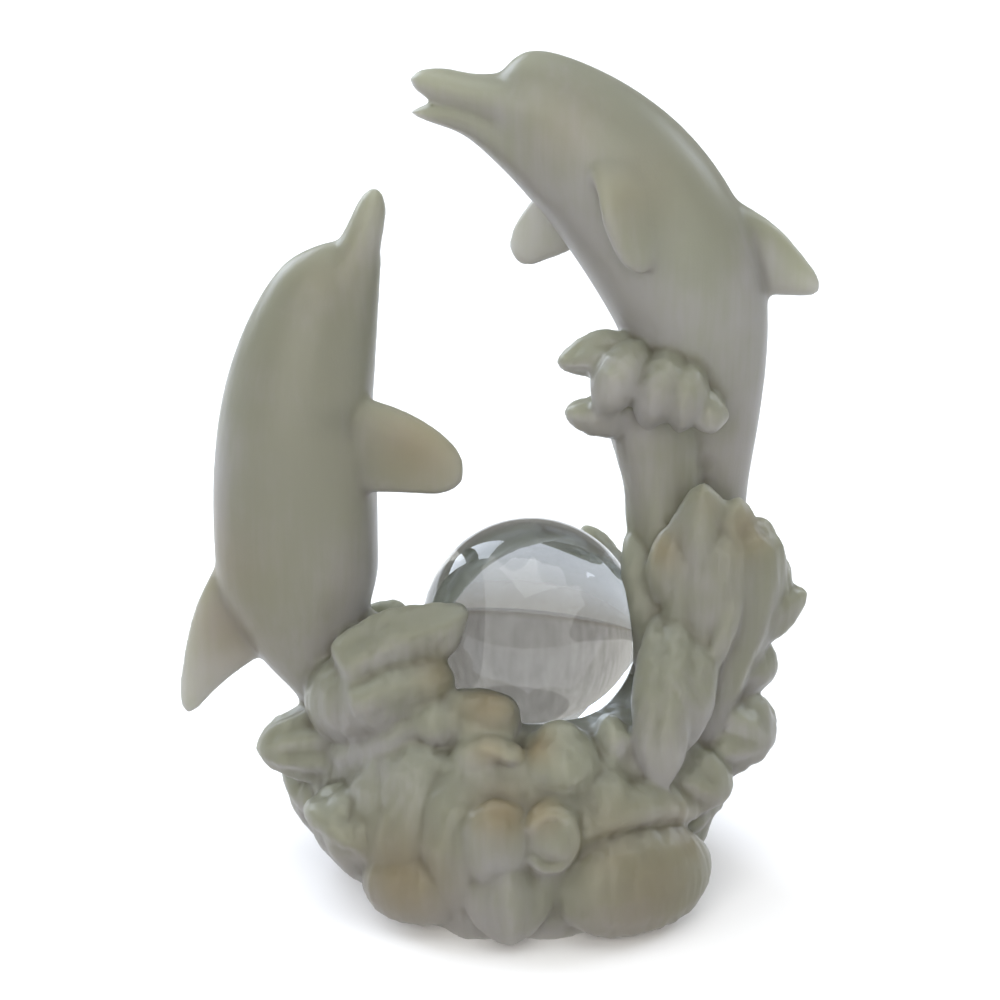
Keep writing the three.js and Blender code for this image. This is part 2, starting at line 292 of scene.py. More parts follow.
def roll(rows: list[tuple[float, float, float, float, float]]) -> Form:
    """A rolled crest that lies along the base's wall.

    Args:
        rows: Azimuth in degrees, distance from the middle, height, and the half sizes out and up.

    Returns:
        The crest's form.
    """
    flat = [
        (r * math.cos(math.radians(a)), r * math.sin(math.radians(a)), half, side)
        for a, r, _, half, side in rows
    ]
    return Form(rows=flat, lifts=tuple(row[2] for row in rows), cap=(0.3, 0.3), sides=14, rings=12)


# ---- The dolphins ----


@dataclass
class Fin:
    """A fin: a thin form from its root inside the body to its tip.

    Attributes:
        rows: Its spine and half sizes.
        x: Where its plane starts, across the piece.
        y: The same, from front to back.
        azimuth: Which way its plane runs.
        end: The share of its length that its tip is rounded over.
    """

    rows: list[Row]
    x: float = 0
    y: float = 0
    azimuth: float = 0
    end: float = 0.16

    def form(self) -> Form:
        """The fin's form."""
        place = upright_plane(self.x, self.y, self.azimuth)
        return Form(self.rows, place, cap=(0.1, self.end), sides=24, rings=20, skin=Skin.ANIMAL)


@dataclass
class Dolphin:
    """One dolphin: a body that stands in an upright plane, its jaws and its fins.

    Attributes:
        plane: How far back its plane lies.
        body: The body's spine and half sizes, from the forehead to the tail.
        jaws: The beak, in one part or two.
        fins: The dorsal fin and the two pectoral fins.
    """

    plane: float
    body: list[Row]
    jaws: list[list[Row]]
    fins: list[Fin]

    def forms(self) -> list[Form]:
        """The forms that the dolphin is made of.

        Returns:
            The body's form, then the jaws' and the fins'.
        """
        place = upright_plane(0, self.plane, 0)
        body = Form(self.body, place, cap=(0.09, 0.04), sides=40, rings=44, skin=Skin.ANIMAL)
        jaws = [
            Form(jaw, place, cap=(0.1, 0.18), sides=24, rings=20, skin=Skin.ANIMAL)
            for jaw in self.jaws
        ]
        return [body, *jaws, *(fin.form() for fin in self.fins)]


def rising_dolphin() -> Dolphin:
    """The dolphin on the left, standing on its tail with its back to the left.

    Returns:
        The dolphin.
    """
    plane = 3
    return Dolphin(
        plane=plane,
        body=[
            (-41.2, 150.6, 4.5, 4.2),
            (-44.2, 140.5, 11, 8),
            (-48.2, 127, 14.7, 12),
            (-50.8, 113, 17, 14.5),
            (-51.7, 98.5, 18.4, 15.6),
            (-52, 83, 18.7, 15.8),
            (-51.6, 69.5, 18, 14.6),
            (-49.2, 56, 12.6, 11),
            (-45.6, 44, 7, 8),
            (-41, 30, 6, 7),
        ],
        jaws=[
            [
                (-45, 122, 11, 12),
                (-41.4, 134, 8, 8.8),
                (-38, 145, 5.6, 6),
                (-34.8, 154, 4.1, 4.3),
                (-32.4, 163, 3.1, 3.2),
            ],
            [(-41, 112, 7, 11), (-38.4, 126, 5.4, 7.6), (-36, 140, 4, 5), (-34, 152, 3, 3.6)],
        ],
        fins=[
            Fin(  # dorsal
                [(-55.5, 72, 15, 9), (-67, 59.4, 10.4, 4), (-75, 46.5, 5.2, 2.2), (-78.8, 36.8, 2, 1.3)],
                y=plane,
            ),
            Fin(  # near pectoral
                [(-46, 107, 11, 4.5), (-34, 105.4, 11, 3.6), (-24, 103, 9, 2.8), (-13.6, 98.2, 4.9, 1.8)],
                y=-9,
                azimuth=-8,
            ),
            Fin(  # far pectoral
                [(-4, 108, 3.6, 9), (8, 104, 3, 8.6), (17, 97, 2.3, 6.6), (24, 88, 1.5, 3)],
                x=-44,
                y=12,
                azimuth=62,
            ),
        ],
    )


def arching_dolphin() -> Dolphin:
    """The dolphin on the right, arching over the ball with its mouth open.

    Returns:
        The dolphin.
    """
    plane = 9
    return Dolphin(
        plane=plane,
        body=[
            (-8.4, 181.6, 6.4, 4.6),
            (-4, 180, 12.2, 7.4),
            (4, 176.6, 14.6, 10.4),
            (13.8, 169.5, 16.8, 13.4),
            (22.8, 160.3, 18.3, 15.6),
            (30.7, 148.8, 18.5, 16),
            (36.6, 135.5, 17.4, 14.8),
            (39.6, 120.3, 15, 12.6),
            (42.2, 105, 10.9, 9.8),
            (44.2, 90.5, 6.8, 7.6),
            (44.6, 76, 6, 7),
            (43.6, 60, 6.6, 7.6),
        ],
        jaws=[
            [  # upper
                (8, 177, 10, 11.5),
                (0, 179.5, 7.6, 9.2),
                (-7, 181, 5.4, 7),
                (-12.5, 182.2, 4.3, 5.4),
                (-18, 183.7, 4, 4.4),
                (-25.6, 185.4, 3.2, 3.4),
            ],
            [  # lower
                (12, 161, 10, 12),
                (4, 167.6, 8.4, 10),
                (-4.5, 172.6, 5.8, 7.6),
                (-11.5, 176, 3.9, 5.4),
                (-18, 177.4, 2.6, 4),
                (-26, 178, 1.4, 2.4),
            ],
        ],
        fins=[
            Fin(  # dorsal
                [(37, 148.4, 14, 9), (50, 145.4, 9.8, 4), (59.6, 141, 5.4, 2.2), (66, 137, 2, 1.3)],
                y=plane,
            ),
            Fin(  # near pectoral
                [(-5, 170, 3.2, 7.6), (2, 165, 2.8, 8.8), (4.6, 156, 2.2, 8), (7, 145.6, 1.6, 3.6)],
                x=21.5,
                y=-2.8,
                azimuth=-62,
            ),
            Fin(  # far pectoral
                [(-2, 158.5, 8, 4), (6, 152, 8, 3), (12.4, 146, 6, 2.2), (15.4, 140.4, 2.8, 1.5)],
                x=14,
                y=17,
                azimuth=170,
            ),
        ],
    )


# ---- The base ----


@dataclass
class Scallop:
    """A scallop on the base's wall: a fluted lobe under a rolled lip.

    Attributes:
        azimuth: Where it stands round the base.
        spread: Half the angle that it covers.
        foot: The height of its foot.
        top: The height of its lip.
        reach: How far out its lip stands.
    """

    azimuth: float
    spread: float
    foot: float
    top: float
    reach: float

    def forms(self) -> list[Form]:
        """The lobe and its lip.

        Returns:
            The lobe's form, then its lip's.
        """
        width = self.reach * math.sin(math.radians(self.spread))
        lip = 3 + width / 8
        rise = self.top - self.foot
        lobe = Form(
            rows=[
                (self.reach - 22, self.foot - 5, 7, width * 0.6),
                (self.reach - 12.5, self.foot + rise * 0.3, 9, width * 0.9),
                (self.reach - 8, self.foot + rise * 0.66, 8, width),
                (self.reach - 12, self.top, 8, width * 0.7),
            ],
            place=upright_plane(0, 0, self.azimuth),
            cap=(0.2, 0.3),
            flutes=7,
            groove=0.16,
            rings=14,
        )
        crest = roll(
            [
                (
                    self.azimuth + share * self.spread,
                    self.reach - lip + 1.5 - abs(share) * 2,
                    self.top - lip - width / 3 * share**2,
                    lip * (1 - share**2 / 3),
                    lip * 0.85 * (1 - share**2 / 3),
                )
                for share in (-1, -0.5, 0, 0.5, 1)
            ]
        )
        return [lobe, crest]


@dataclass
class Shell:
    """A broad shell at the foot of the base: a smooth pillow under a rolled lip.

    Attributes:
        azimuth: Where it stands round the base.
        spread: Half the angle that it covers.
        foot: The height of its foot.
        top: The height of the crease under its lip.
        reach: How far out it stands.
        thick: Half its thickness.
        lip: Half the thickness of its lip.
        flare: How much farther out its right end stands than its middle.
    """

    azimuth: float
    spread: float
    foot: float
    top: float
    reach: float
    thick: float
    lip: float
    flare: float

    def forms(self) -> list[Form]:
        """The pillow and its lip.

        Returns:
            The pillow's form, then its lip's.
        """
        inner = self.reach - self.thick
        height = (self.top - self.foot) / 2
        shares = (-1, -0.5, 0, 0.5, 1)
        pillow = [
            (
                self.azimuth + share * self.spread,
                inner + self.flare * share,
                self.foot + height - share**2,
                self.thick * (1 - share**2 / 4),
                height * (1 - 0.4 * share**2),
            )
            for share in shares
        ]
        lip = [
            (
                self.azimuth + share * self.spread,
                inner - 2.5 + self.flare * share,
                self.top + self.lip * (0.8 - 1.5 * share**2),
                self.lip,
                self.lip * (1 - share**2 / 4),
            )
            for share in shares
        ]
        return [roll(pillow), roll(lip)]


@dataclass
class Breaker:
    """A breaker on the back: a fluted wall that rises from its foot to a crest that rolls outwards.

    Attributes:
        azimuth: Where it stands round the base.
        foot: How far out its foot is.
        crest: How far out it is below its crest.
        top: The height of its crest.
        width: Half its width.
    """

    azimuth: float
    foot: float
    crest: float
    top: float
    width: float

    def form(self) -> Form:
        """The breaker's form.

        Returns:
            The fluted wall with its crest.
        """
        return Form(
            rows=[
                (self.foot, 4, 7, self.width * 0.9),
                (self.foot * 0.5 + self.crest * 0.5, self.top * 0.45, 8, self.width),
                (self.crest, self.top * 0.8, 8, self.width),
                (self.crest + 5, self.top - 3, 6, self.width * 0.8),
                (self.crest + 10, self.top - 9, 4, self.width * 0.6),
            ],
            place=upright_plane(0, 0, self.azimuth),
            flutes=8,
            groove=0.16,
            rings=18,
        )


@dataclass
class WaveBase:
    """The base of breaking waves that the dolphins spring from.

    Attributes:
        bowl: The solid heart, as height, middle in x and y, half width and half depth.
        scallops: The ring of scallops round the sides and the back.
        shells: The two broad shells at the foot of the front.
        breakers: The wall round the back, low behind the ball and high by the right dolphin's tail.
        dent: How deep the heart's upright dents are, as a share of its radius.
    """

    bowl: tuple[tuple[float, float, float, float, float], ...] = (
        (-4, -2, -1, 35, 35),
        (4, -3, -1, 39, 39.5),
        (14, -5, -1, 42, 42.5),
        (24, -5, -2, 45, 41.5),
        (33, -3, -4, 45, 37),
        (41, -1, -6, 42, 29),
        (45, 0, -7, 34, 18),
    )
    scallops: tuple[Scallop, ...] = (
        Scallop(-152, 13, 10, 29, 54),
        Scallop(174, 15, 7, 27, 56),
        Scallop(141, 18, 2, 27, 47),
        Scallop(103, 19, 4, 29, 45),
        Scallop(64, 19, 1, 27, 46),
        Scallop(24, 20, 3, 30, 43),
        Scallop(-12, 16, 6, 26, 46),
    )
    shells: tuple[Shell, ...] = (
        Shell(-54, 28, 0, 26.5, 51, 9, 5.6, 3.8),
        Shell(-127, 17, 2, 21.5, 48, 6.5, 4.4, -3),
    )
    breakers: tuple[Breaker, ...] = (
        Breaker(154, 40, 35, 52, 15),
        Breaker(124, 37, 27, 38, 17),
        Breaker(92, 36, 25, 35, 18),
        Breaker(60, 36, 28, 47, 17),
        Breaker(30, 36, 36, 61, 15),
    )
    dent: float = 0.025

    def heart(self) -> bpy.types.Object:
        """Extrudes the solid heart of the base upwards from its foot.

        Returns:
            The closed heart.
        """
        height, x, y, width, depth = self.bowl[0]
        bpy.ops.mesh.primitive_circle_add(
            vertices=88, radius=MM, fill_type="NGON", location=(x * MM, y * MM, height * MM)
        )
        bpy.ops.object.transform_apply()
        foot = bpy.context.object
        for index, vertex in enumerate(foot.data.vertices):
            dent = self.dent * (1 - math.cos(index * math.pi / 4)) / 2
            vertex.co.x *= 1 - dent
            vertex.co.y *= 1 - dent
        bpy.ops.object.mode_set(mode="EDIT")
        bpy.ops.mesh.select_all(action="SELECT")
        bpy.ops.transform.resize(value=(width, depth, 1), center_override=(x * MM, y * MM, 0))
        for below, above in zip(self.bowl, self.bowl[1:]):
            rise, x, y = (above[index] - below[index] for index in range(3))
            bpy.ops.mesh.extrude_region_move(
                TRANSFORM_OT_translate={"value": (x * MM, y * MM, rise * MM)}
            )
            bpy.ops.transform.resize(
                value=(above[3] / below[3], above[4] / below[4], 1),
                center_override=(above[1] * MM, above[2] * MM, above[0] * MM),
            )
        bpy.ops.object.mode_set(mode="OBJECT")
        return bpy.context.object

    def front(self) -> list[Form]:
        """The falling water at the front: low lobes at the foot, a column and an ear-shaped curl.

        Returns:
            Their forms.
        """
        ear = [
            (5.4 * math.cos(math.radians(turn)), 27.5 + 7 * math.sin(math.radians(turn)), 1.5, 3)
            for turn in (165, 110, 55, 0, -55, -110, -150)
        ]
        return [
            drop((-4, -31, 27), (-3.6, -42.2, 1), (7, 11), (0, -2, 1), flutes=5),
            drop((-24, -26, 20), (-22, -35.5, 2), (6, 8), (0, -1, 1)),
            drop((20, -26, 20), (20, -34.5, 2), (6, 8), (0, -1, 1)),
            drop((-6, -32, 7), (-6.6, -39.6, 36), (5.2, 8.8), (0, -3, 0), end=0.24),
            Form(ear, upright_plane(5.5, -41.4, 6), cap=(0.12, 0.12), sides=16, rings=26),
            drop((6, -36, 36), (6, -39.4, 20), (6, 6.4), (0, -1, 0)),
        ]

    def rim(self) -> list[Form]:
        """The crests along the rim in front of the ball, and the cascade at their right.

        Returns:
            Their forms.
        """
        arch = [
            (7 * math.cos(math.radians(turn)), 39 + 6 * math.sin(math.radians(turn)), 2.6, 3.6)
            for turn in (175, 130, 90, 50, 20)
        ]
        return [
            # The ledge, with a flat top and a square end.
            drop((-19, -19, 46), (-1, -24.5, 46.4), (7, 8), (0, -1, 1), end=0.16),
            drop((-22, -21, 50), (-2, -27.5, 51.6), (2.6, 4), (0, -1, 1), end=0.16),
            # The small arch below it and the lobe that it shelters.
            drop((-10, -22, 42), (-8, -33.6, 38.4), (5.4, 7.6), (0, -1, 1), end=0.3),
            Form(arch, upright_plane(-8, -31, -14), cap=(0.12, 0.3), sides=16, rings=20),
            drop((-25, -17, 50), (-16, -26, 43), (6, 6), (0, -1, 1)),
            # The round lobe, like a pebble.
            drop((5, -20, 42), (11, -37.6, 38), (6.8, 8.8), (0, -1, 1), end=0.55),
            drop((2, -27, 46), (13, -30, 46.4), (2.4, 3.4), (0, -1, 1)),
            # The small lobes to its right.
            drop((18, -17, 42), (20.6, -29.5, 40.4), (5.6, 5.2), (0, -1, 2), flutes=3),
            drop((22, -16, 40), (26, -28.5, 37), (5.2, 4.6), (0, -1, 2), flutes=3),
            drop((12, -29, 32), (24, -34, 33), (4, 6), (0, -2, 2)),
            # The cascade: three strands that meet in a point.
            drop((30, -9, 68), (29, -30.6, 34), (4.6, 5), (-1, -4, 0), end=0.3),
            drop((35, -8, 70), (30.4, -30.6, 34), (4.8, 5), (0, -5, 0), end=0.3),
            drop((40, -6, 68), (33.6, -27, 40), (5, 5.4), (1, -4, 0), end=0.4),
        ]

    def left_side(self) -> list[Form]:
        """The smooth falling faces, the shell-like horn and the crest at the ball's left.

        Returns:
            Their forms.
        """
        return [
            Form(
                rows=[(34, 6, 8, 9), (39.5, 18, 8, 12), (37, 32, 7.5, 11), (30, 43, 6, 8)],
                place=upright_plane(0, 0, -137),
            ),
            # The diagonal ridge and the broad face above it.
            drop((-46, -8, 32), (-21, -25, 50), (4, 4), (0, -4, -1), end=0.3),
            drop((-46, 0, 40), (-22, -18, 52), (11, 11), (-2, -4, 3), end=0.3),
            drop((-38, -4, 62), (-27, -17, 45), (9, 10), (-1, -4, 0), end=0.3),
            # The horn.
            Form(
                rows=[
                    (-30, 32, 14, 12),
                    (-43, 33.5, 11.5, 11),
                    (-52.5, 32.5, 9, 8.6),
                    (-62, 31, 5.4, 5.6),
                ],
                place=upright_plane(0, -4, 0),
                cap=(0.1, 0.24),
                flutes=9,
                groove=0.16,
                rings=20,
            ),
            # The crest: two leaves, one above the other.
            Form(
                rows=[(-41, 56, 8, 7), (-32, 61.5, 9, 7.4), (-23, 65, 8.6, 6.8), (-11, 71, 3.4, 3.4)],
                place=upright_plane(0, -15, 4),
                cap=(0.1, 0.2),
                flutes=5,
                groove=0.16,
                rings=20,
            ),
            Form(
                rows=[(-40, 50, 8, 7), (-30, 54, 8.6, 8), (-22, 55.4, 8, 7), (-15.5, 56, 5, 4)],
                place=upright_plane(0, -18, 4),
                cap=(0.1, 0.2),
                flutes=5,
                groove=0.16,
                rings=20,
            ),
            drop((-36, 14, 42), (-29, 11, 62), (8, 7), (-1, 0, 1), flutes=4),
            drop((-40, 8, 50), (-31, -4, 61), (7, 6), (-1, 0, 2), flutes=4),
        ]

    def right_side(self) -> list[Form]:
        """The stacked breakers and the tall wave at the ball's right.

        Returns:
            Their forms.
        """
        wave = Form(
            rows=[
                (34, 34, 12, 11),
                (38, 50, 13, 11),
                (42, 64, 14.5, 10.5),
                (44.5, 77, 15, 9.5),
                (45, 90, 12, 7),
            ],
            place=upright_plane(0, -7, 0),
            flutes=8,
            groove=0.08,
            cap=(0.08, 0.14),
            rings=20,
        )
        return [
            # The three fans, one above the other.
            drop((28, -10, 26), (46, -21, 27), (9.4, 9.5), (1, -1, 3), flutes=6),
            drop((32, 1, 32), (57, -11, 36), (11, 12), (3, -1, 3), flutes=7),
            drop((34, 3, 47), (57.4, -6, 52), (10, 10.4), (2, 0, 3), flutes=7),
            wave,
            # The leaves of the crest, from the ball outwards, and its pointed tip.
            drop((35, -4, 64), (32.5, -8, 88.5), (4.6, 5.6), (-1, -3, 0), end=0.5),
            drop((38, -4, 66), (39.6, -7, 98), (6, 8), (0, -3, 0), flutes=4, end=0.4),
            drop((43, -3, 66), (47.4, -6.5, 94.5), (6, 7.6), (0, -3, 0), flutes=4, end=0.4),
            drop((46, -2, 66), (53.4, -5, 89.5), (5.6, 7), (1, -3, 0), flutes=4, end=0.4),
            drop((46, -2, 62), (58, -4, 80), (5.4, 6.6), (2, -2, 0), end=0.5),
            drop((38, -5, 56), (64.4, -4, 71), (7, 7.4), (2, -1, 2), flutes=3, end=0.6),
            # The long fold down the face.
            drop((47.5, -11, 82), (38, -16.5, 50), (2.6, 2.6), (2, -3, 0)),
            drop((24.5, 1, 84), (30, -7, 46), (5, 6), (1, -3, 0)),
            # The swell behind it, which wraps the dolphin's tail and the foot of the splash.
            drop((40, 14, 32), (45, 13.5, 83), (8.5, 10.5), (1, 3, 0), flutes=5, end=0.3),
            drop((36, 13, 36), (34.5, 9.5, 73), (6.5, 7.5), (0, 2, 0), flutes=4, end=0.3),
        ]

    def splash(self) -> list[Form]:
        """The column of water up the arching dolphin's belly, and its fist of foam.

        Returns:
            Their forms.
        """
        column = Form(
            rows=[
                (35, 62, 8, 10),
                (33, 80, 9.4, 9),
                (31, 96, 9.4, 8),
                (28.5, 110, 10.5, 8.5),
                (25, 120, 8, 8),
            ],
            place=upright_plane(0, 3, 0),
            cap=(0.08, 0.14),
            flutes=5,
            groove=0.08,
        )
        return [
            column,
            drop((29, 1, 121), (6.5, -2, 124), (6, 6.6), (0, 0, 3), flutes=4, end=0.5),
            drop((27, 0, 113), (8.5, -1, 112.5), (5.6, 6), (0, 0, -1), flutes=3),
            drop((27, 2, 127), (17, -5, 112), (4.6, 6.8), (-2, -6, 4), flutes=3),
            drop((33, 2, 126), (26, -7, 110), (4.6, 6.6), (0, -6, 3), flutes=3),
            drop((37, 1, 123), (33.5, -7.5, 109.5), (4.6, 5.6), (0, -5, 3), flutes=3),
            drop((40, 1, 116), (40.5, -5.5, 109.5), (4.6, 5.2), (0, -4, 1), flutes=3),
            drop((36, 13, 48), (14, 25, 76), (8, 8), (-3, 3, -3), flutes=3),
        ]

    def build(self) -> list[bpy.types.Object]:
        """Builds the solid heart and every wave on it.

        Returns:
            The base's closed forms.
        """
        forms = [form for lobe in (*self.scallops, *self.shells) for form in lobe.forms()]
        forms += [breaker.form() for breaker in self.breakers]
        forms += self.front() + self.rim() + self.left_side() + self.right_side() + self.splash()
        return [self.heart(), *(form.build() for form in forms)]


# ---- Finishes ----


def linear(code: str) -> tuple[float, float, float, float]:
    """Turns an sRGB hex colour into Blender's linear one.

    Args:
        code: Six hex digits after a #.

    Returns:
        Red, green, blue and an alpha of 1.
    """
    channels = [int(code[start : start + 2], 16) / 255 for start in (1, 3, 5)]
    return (*(c / 12.92 if c <= 0.04045 else ((c + 0.055) / 1.055) ** 2.4 for c in channels), 1.0)


def add_node(
    tree: bpy.types.NodeTree,
    kind: str,
    sockets: dict[str | int, object] | None = None,
    **settings: object,
) -> bpy.types.Node:
    """Adds a node with its settings, and fills or links its inputs.

    Args:
        tree: The node tree that it is added to.
        kind: Blender's name for the node type.
        sockets: For each input, the output socket that is linked to it or its plain value.
        settings: The node's own settings.

    Returns:
        The new node.
    """
    node = tree.nodes.new(kind)
    for name, value in settings.items():
        setattr(node, name, value)
    for socket, value in (sockets or {}).items():
        if isinstance(value, bpy.types.NodeSocket):
            tree.links.new(value, node.inputs[socket])
        else:
            node.inputs[socket].default_value = value
    return node


def new_material(name: str) -> tuple[bpy.types.Material, bpy.types.NodeTree]:
    """Makes an empty node material.

    Args:
        name: The material's name.

    Returns:
        The material and its node tree.
    """
    material = bpy.data.materials.new(name)
    material.use_nodes = True
    material.node_tree.nodes.clear()
    return material, material.node_tree


@dataclass(frozen=True)
class FrostedAcrylic:
    """Cast acrylic, sand-blasted to a frosted satin.

    Light enters it and scatters, so it is milky, soft in its shadows and glows where it is thin. The
    blasted skin has a fine even grain and no sharp gloss. The casting is a little cloudy, with olive
    and mauve-grey areas and faint upright streaks. Painted shading leans its tint to olive where the
    skin faces up and to mauve-grey where it faces down, and darkens its creases to a brownish shade.
    Warm brownish patches lie on it; those at its foot and in the hollow at its front are painted shade.
    """

    olive: str = "#949686"
    grey: str = "#a5a4a4"
    amber: str = "#92866b"
    # The colour of the painted shade in hollows and creases.
    crease: str = "#6a5f49"
    cloud_mm: float = 30.0
    streak_mm: float = 1.6
    grain_mm: float = 0.5  # real grit is about 0.2 mm, drawn coarser so that it shows

    def colour(
        self, tree: bpy.types.NodeTree, place: bpy.types.NodeSocket, streak: bpy.types.NodeSocket
    ) -> bpy.types.NodeSocket:
        """Adds the nodes for the colour of the acrylic, with its painted shading.

        Args:
            tree: The material's node tree.
            place: Where the point lies on the casting.
            streak: How strong the upright streaks are there.

        Returns:
            The colour.
        """
        cloud = add_node(
            tree,
            "ShaderNodeTexNoise",
            {"Vector": place, "Scale": 1 / (self.cloud_mm * MM), "Detail": 3.0, "Roughness": 0.5},
        )
        # Painted shading: the tint leans olive where the skin faces up and mauve-grey where it faces
        # down.
        facing = add_node(
            tree,
            "ShaderNodeSeparateXYZ",
            {0: add_node(tree, "ShaderNodeNewGeometry").outputs["Normal"]},
        )
        painted_facing_shift = add_node(
            tree, "ShaderNodeMath", {0: facing.outputs["Z"], 1: 0.28}, operation="MULTIPLY"
        )
        mixed = add_node(
            tree, "ShaderNodeMath", {0: cloud.outputs["Fac"], 1: painted_facing_shift.outputs[0]}, operation="ADD"
        )
        drawn = add_node(
            tree, "ShaderNodeMath", {0: streak, 1: 0.2, 2: mixed.outputs[0]}, operation="MULTIPLY_ADD"
        )
        share = add_node(
            tree,
            "ShaderNodeMapRange",
            {"Value": drawn.outputs[0], "From Min": 0.4, "From Max": 0.76},
            interpolation_type="SMOOTHSTEP",
        )
        tint = add_node(
            tree,
            "ShaderNodeMix",
            {0: share.outputs[0], 6: linear(self.grey), 7: linear(self.olive)},
            data_type="RGBA",
        )
        # Warm brownish patches; those at the foot and in the front hollow are painted shade.
        brown_patch = add_node(tree, "ShaderNodeAttribute", attribute_name="brown_patch")
        browned = add_node(
            tree,
            "ShaderNodeMix",
            {0: brown_patch.outputs["Fac"], 6: tint.outputs[2], 7: linear(self.amber)},
            data_type="RGBA",
        )
        # Painted shade: hollows and creases darken towards the brownish crease colour.
        hollow = add_node(tree, "ShaderNodeAttribute", attribute_name="hollow")
        depth = add_node(
            tree,
            "ShaderNodeMapRange",
            {"Value": hollow.outputs["Fac"], "From Min": 0.03, "From Max": 0.3, "To Max": 0.5},
        )
        crease_shaded = add_node(
            tree,
            "ShaderNodeMix",
            {0: depth.outputs[0], 6: browned.outputs[2], 7: linear(self.crease)},
            data_type="RGBA",
        )
        return crease_shaded.outputs[2]

    def material(self) -> bpy.types.Material:
        """Builds the material.

        Returns:
            The material.
        """
        material, tree = new_material("frosted_acrylic")
        place = add_node(tree, "ShaderNodeTexCoord").outputs["Object"]
        drawn = add_node(tree, "ShaderNodeMapping", {"Vector": place, "Scale": (1.0, 1.0, 0.08)})
        streak = add_node(
            tree,
            "ShaderNodeTexNoise",
            {"Vector": drawn.outputs[0], "Scale": 1 / (self.streak_mm * MM), "Detail": 2.0},
        )
        drawn_skin = add_node(
            tree,
            "ShaderNodeBump",
            {"Height": streak.outputs["Fac"], "Strength": 0.16, "Distance": 0.25 * MM},
        )
        grain = add_node(
            tree,
            "ShaderNodeTexNoise",
            {"Vector": place, "Scale": 1 / (self.grain_mm * MM), "Detail": 2.0},
        )
        blasted = add_node(
            tree,
            "ShaderNodeBump",
            {
                "Height": grain.outputs["Fac"],
                "Strength": 0.2,
                "Distance": 0.1 * MM,
                "Normal": drawn_skin.outputs[0],
            },
        )
        roughness = add_node(
            tree,
            "ShaderNodeMapRange",
            {"Value": streak.outputs["Fac"], "To Min": 0.28, "To Max": 0.42},
        )
        shader = add_node(
            tree,
            "ShaderNodeBsdfPrincipled",
            {
                "Base Color": self.colour(tree, place, streak.outputs["Fac"]),
                "Roughness": roughness.outputs[0],
                "Normal": blasted.outputs[0],
                "IOR": 1.49,
                "Specular IOR Level": 0.3,
                "Transmission Weight": 0.46,
                "Subsurface Weight": 1.0,
                "Subsurface Radius": (1.0, 1.0, 0.85),
                "Subsurface Scale": 0.017,
            },
        )
        add_node(tree, "ShaderNodeOutputMaterial", {"Surface": shader.outputs[0]})
        return material


@dataclass(frozen=True)
class ClearGlass:
    """Clear soda-lime glass, pressed and fire-polished.

    It is quite clear with a faint cool tint, turns what is behind it upside down and carries crisp
    reflections, broken only by faint smears from handling.
    """

    tint: str = "#bcc0c3"
    smear_mm: float = 7.0

    def material(self) -> bpy.types.Material:
        """Builds the material.

        Returns:
            The material.
        """
        material, tree = new_material("clear_glass")
        place = add_node(tree, "ShaderNodeTexCoord").outputs["Object"]
        smear = add_node(
            tree,
            "ShaderNodeTexNoise",
            {"Vector": place, "Scale": 1 / (self.smear_mm * MM), "Detail": 4.0, "Distortion": 1.0},
        )
        roughness = add_node(
            tree,
            "ShaderNodeMapRange",
            {"Value": smear.outputs["Fac"], "From Min": 0.5, "From Max": 0.8, "To Max": 0.03},
        )
        shader = add_node(
            tree,
            "ShaderNodeBsdfPrincipled",
            {
                "Base Color": linear(self.tint),
                "Roughness": roughness.outputs[0],
                "IOR": 1.52,
                "Transmission Weight": 1.0,
            },
        )
        add_node(tree, "ShaderNodeOutputMaterial", {"Surface": shader.outputs[0]})
        return material


@dataclass(frozen=True)
class WhitePaper:
    """Matt white background paper: it gives a soft, even light back and no gloss."""

    colour: str = "#f6f6f6"

    def material(self) -> bpy.types.Material:
        """Builds the material.

        Returns:
            The material.
        """
        material, tree = new_material("white_paper")
        place = add_node(tree, "ShaderNodeTexCoord").outputs["Object"]
        fibre = add_node(tree, "ShaderNodeTexNoise", {"Vector": place, "Scale": 900.0})
        bump = add_node(tree, "ShaderNodeBump", {"Height": fibre.outputs["Fac"], "Strength": 0.02})
        shader = add_node(
            tree,
            "ShaderNodeBsdfPrincipled",
            {"Base Color": linear(self.colour), "Roughness": 0.9, "Normal": bump.outputs[0]},
        )
        add_node(tree, "ShaderNodeOutputMaterial", {"Surface": shader.outputs[0]})
        return material


